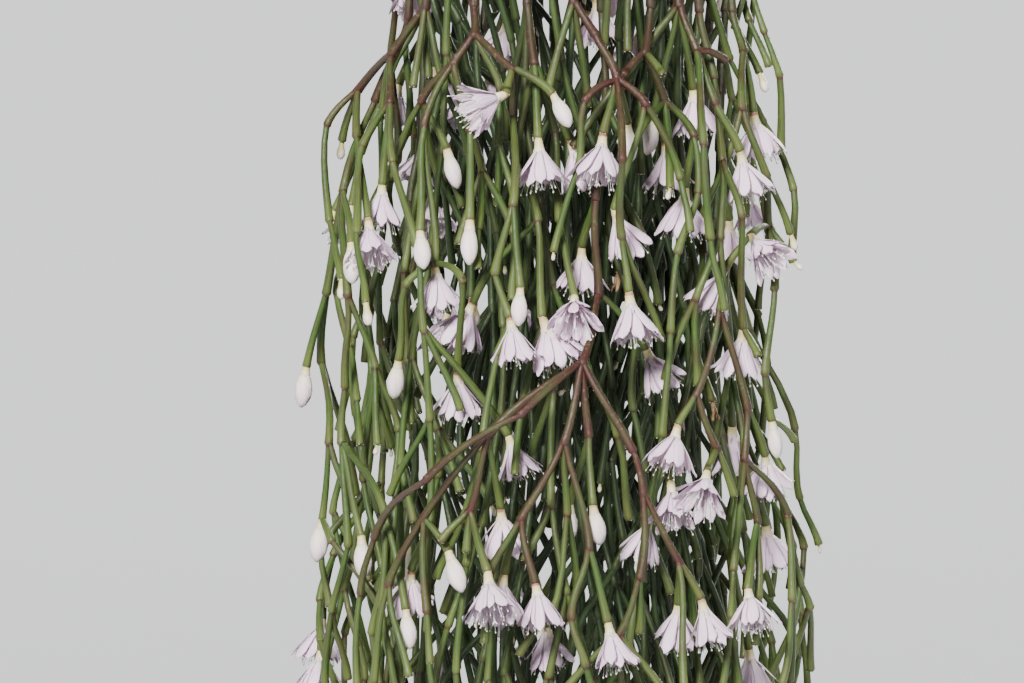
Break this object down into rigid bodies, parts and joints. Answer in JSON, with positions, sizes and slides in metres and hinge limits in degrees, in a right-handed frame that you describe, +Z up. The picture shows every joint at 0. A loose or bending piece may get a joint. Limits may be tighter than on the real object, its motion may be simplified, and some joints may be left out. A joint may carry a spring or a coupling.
{
  "type": "potted hanging cactus",
  "caption": "Hanging pot on a three-wire hanger with a flowering pendent cactus, a curtain of club-shaped stems that fork in whorls and end in white bell flowers and buds.",
  "frame": {"origin": "top inside of the hook's loop, where it bears on the rail that holds it up", "axes": "+Z up along the hanger, -Y towards the viewer of the picture, +X to the viewer's right"},
  "size_m": [0.1496, 0.1767, 0.5898],
  "materials": {
    "pot": "matt moulded plastic, terracotta colour",
    "soil": "loose dark potting soil with pale grit",
    "hanger": "drawn galvanised wire, satin",
    "stem": "waxy plant skin: green young stems, brown-red old ones, dark joints",
    "petal": "thin soft white petals on a cream ovary"
  },
  "bodies": {
    "root": {"pot": "pot", "soil": "soil", "hanger_hook": "hanger", "hanger_ferrule": "hanger", "hanger_wire_1": "hanger", "hanger_wire_2": "hanger", "hanger_wire_3": "hanger", "spray_01": "stem", "spray_02": "stem", "spray_03": "stem", "spray_04": "stem", "spray_05": "stem", "spray_06": "stem", "spray_07": "stem", "spray_08": "stem", "spray_09": "stem", "spray_10": "stem", "spray_11": "stem", "spray_12": "stem", "bloom_01": "petal", "bloom_02": "petal", "bloom_03": "petal", "bloom_04": "petal", "bloom_05": "petal", "bloom_06": "petal", "bloom_07": "petal", "bloom_08": "petal", "bloom_09": "petal", "bloom_10": "petal", "bloom_11": "petal", "bloom_12": "petal", "bloom_13": "petal", "bloom_14": "petal", "bloom_15": "petal", "bloom_16": "petal", "bloom_17": "petal", "bloom_18": "petal", "bloom_19": "petal", "bloom_20": "petal", "bloom_21": "petal", "bloom_22": "petal", "bloom_23": "petal", "bloom_24": "petal", "bloom_25": "petal", "bloom_26": "petal", "bloom_27": "petal", "bloom_28": "petal", "bloom_29": "petal", "bloom_30": "petal", "bloom_31": "petal", "bloom_32": "petal", "bloom_33": "petal", "bloom_34": "petal", "bloom_35": "petal", "bloom_36": "petal", "bloom_37": "petal", "bloom_38": "petal", "bloom_39": "petal", "bloom_40": "petal", "bloom_41": "petal"}
  },
  "joints": []
}
